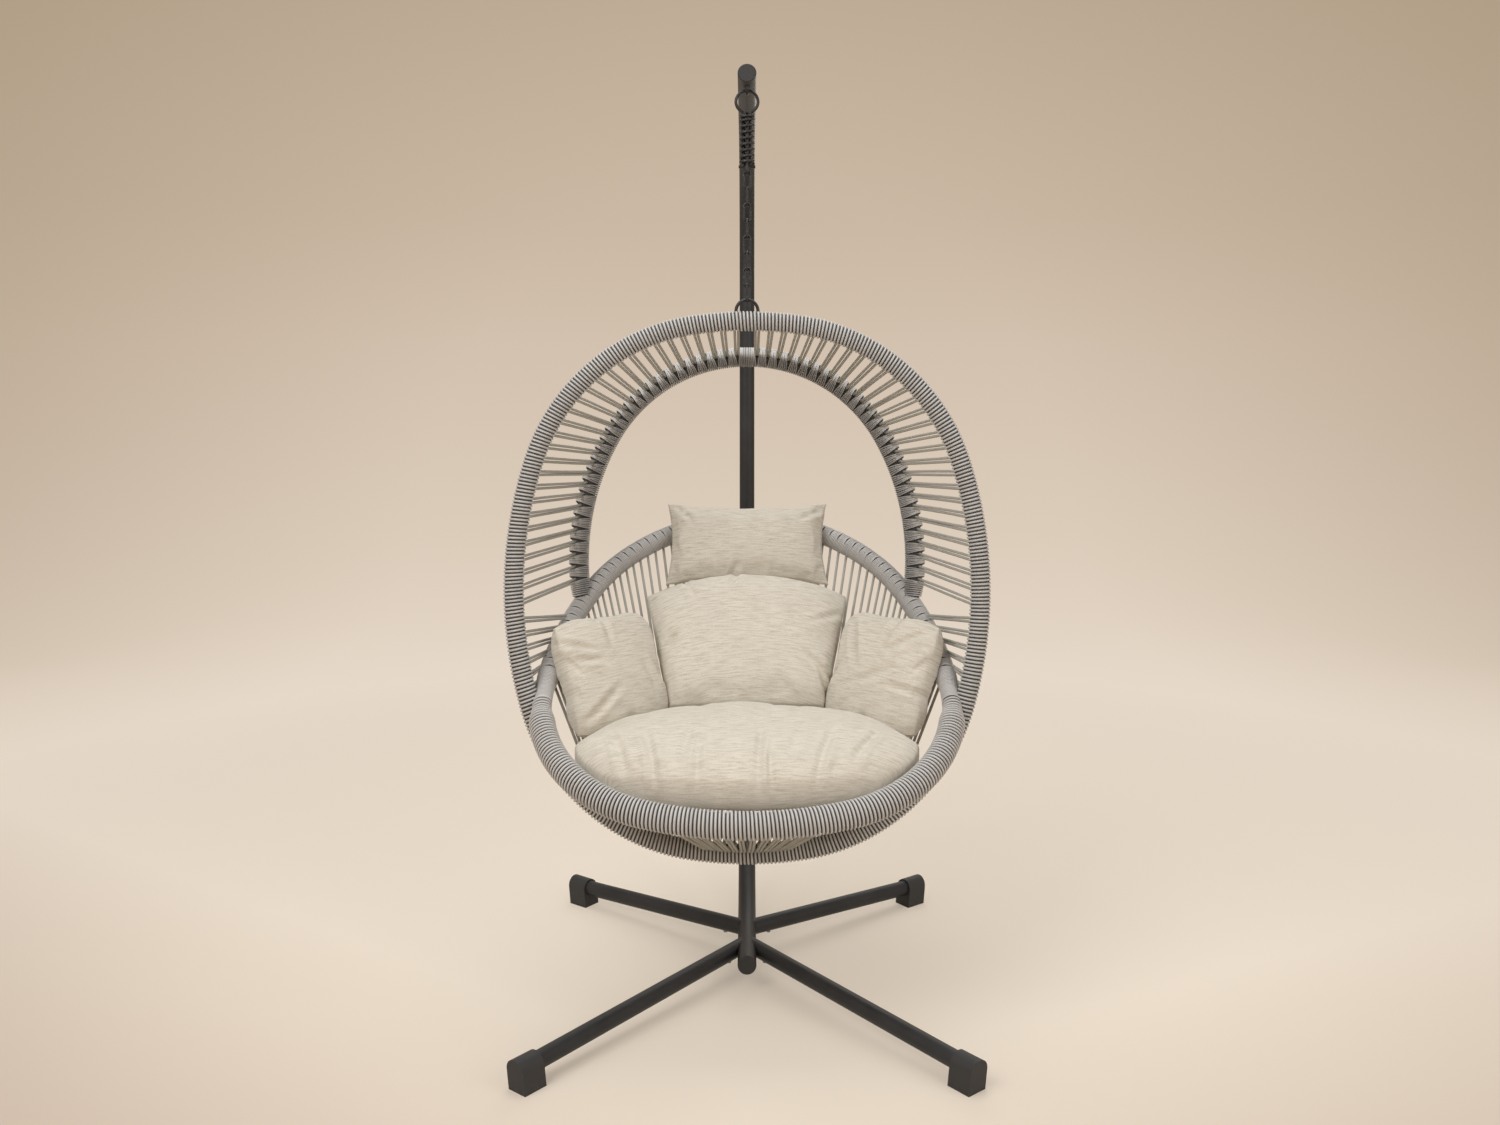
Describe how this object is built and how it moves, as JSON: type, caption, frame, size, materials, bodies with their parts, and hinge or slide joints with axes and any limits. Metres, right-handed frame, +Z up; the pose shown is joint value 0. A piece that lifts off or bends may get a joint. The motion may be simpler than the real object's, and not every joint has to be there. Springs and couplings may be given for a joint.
{
  "type": "hanging egg chair",
  "caption": "Hanging egg chair: a bowed tube stand on splayed legs carries a rope-wound oval basket with cushions, hung from its arm by a drawbar spring and a chain.",
  "frame": {"origin": "on the floor below the middle of the chair's footprint", "axes": "+Z up, the front of the chair faces -Y, +X to the viewer's right from the front"},
  "size_m": [1.0276, 1.2449, 1.9659],
  "materials": {
    "stand_paint": "matt black powder coat",
    "frame_paint": "matt black powder coat",
    "black_plastic": "moulded, matt",
    "inner_steel": "coated steel inside the tubes",
    "bolt_steel": "blackened screws",
    "black_steel": "black coated wire",
    "grey_rope": "wound light grey rope",
    "strand_rope": "free grey rope strands",
    "cushion_cloth": "woven cream cloth"
  },
  "bodies": {
    "stand": {"lower_bow": "stand_paint", "upper_bow": "stand_paint", "bow_sleeve": "inner_steel", "bow_bolts": "bolt_steel", "base_cap": "black_plastic", "arm_cap": "black_plastic", "leg_front_left": "stand_paint", "leg_front_right": "stand_paint", "leg_rear_left": "stand_paint", "leg_rear_right": "stand_paint", "leg_spigots": "inner_steel", "leg_bolts": "bolt_steel", "foot_front_left": "black_plastic", "foot_front_right": "black_plastic", "foot_rear_left": "black_plastic", "foot_rear_right": "black_plastic", "arm_eye": "stand_paint"},
    "upper_drawbar": {"upper_drawbar": "black_steel"},
    "spring": {"spring": "black_steel"},
    "lower_drawbar": {"lower_drawbar": "black_steel"},
    "link_1": {"chain_link_1": "black_steel"},
    "link_2": {"chain_link_2": "black_steel"},
    "link_3": {"chain_link_3": "black_steel"},
    "link_4": {"chain_link_4": "black_steel"},
    "link_5": {"chain_link_5": "black_steel"},
    "link_6": {"chain_link_6": "black_steel"},
    "link_7": {"chain_link_7": "black_steel"},
    "link_8": {"chain_link_8": "black_steel"},
    "basket": {"hanging_loop": "frame_paint", "outer_hoop": "frame_paint", "inner_hoop": "frame_paint", "seat_ring": "frame_paint", "outer_hoop_wrap": "grey_rope", "inner_hoop_wrap": "grey_rope", "ring_back_wrap": "grey_rope", "ring_front_wrap": "grey_rope", "hood_strands_left": "strand_rope", "hood_strands_right": "strand_rope", "web_strands": "strand_rope", "front_strands": "strand_rope", "seat_cushion": "cushion_cloth", "back_cushion": "cushion_cloth", "head_cushion": "cushion_cloth", "arm_cushion_left": "cushion_cloth", "arm_cushion_right": "cushion_cloth"}
  },
  "joints": [
    {"name": "chair_swing", "type": "hinge", "parent": "stand", "child": "upper_drawbar", "pos_m": [0, -0.15983, 1.91674], "axis": [1, 0, 0], "range_deg": [-18, 12]},
    {"name": "chair_turn", "type": "hinge", "parent": "upper_drawbar", "child": "spring", "pos_m": [0, -0.15983, 1.75685], "axis": [0, 0, 1], "range_deg": [-25, 25]},
    {"name": "spring_stroke", "type": "slide", "parent": "spring", "child": "lower_drawbar", "axis": [0, 0, -1], "range_m": [0, 0.04], "stiffness_N_per_m": 15000, "springref_m": -0.01451, "deforming": ["spring"]},
    {"name": "link_1_swing", "type": "hinge", "parent": "lower_drawbar", "child": "link_1", "pos_m": [0, -0.15983, 1.73805], "axis": [0, 1, 0], "range_deg": [-8, 8]},
    {"name": "link_2_swing", "type": "hinge", "parent": "link_1", "child": "link_2", "pos_m": [0, -0.15983, 1.7041], "axis": [1, 0, 0], "range_deg": [-8, 8]},
    {"name": "link_3_swing", "type": "hinge", "parent": "link_2", "child": "link_3", "pos_m": [0, -0.15983, 1.6694], "axis": [0, -1, 0], "range_deg": [-8, 8]},
    {"name": "link_4_swing", "type": "hinge", "parent": "link_3", "child": "link_4", "pos_m": [0, -0.15983, 1.6347], "axis": [-1, 0, 0], "range_deg": [-8, 8]},
    {"name": "link_5_swing", "type": "hinge", "parent": "link_4", "child": "link_5", "pos_m": [0, -0.15983, 1.6], "axis": [0, 1, 0], "range_deg": [-8, 8]},
    {"name": "link_6_swing", "type": "hinge", "parent": "link_5", "child": "link_6", "pos_m": [0, -0.15983, 1.5653], "axis": [1, 0, 0], "range_deg": [-8, 8]},
    {"name": "link_7_swing", "type": "hinge", "parent": "link_6", "child": "link_7", "pos_m": [0, -0.15983, 1.5306], "axis": [0, -1, 0], "range_deg": [-8, 8]},
    {"name": "link_8_swing", "type": "hinge", "parent": "link_7", "child": "link_8", "pos_m": [0, -0.15983, 1.4959], "axis": [-1, 0, 0], "range_deg": [-8, 8]},
    {"name": "basket_roll", "type": "hinge", "parent": "link_8", "child": "basket", "pos_m": [0, -0.15983, 1.4612], "axis": [0, 1, 0], "range_deg": [-7, 7]}
  ]
}
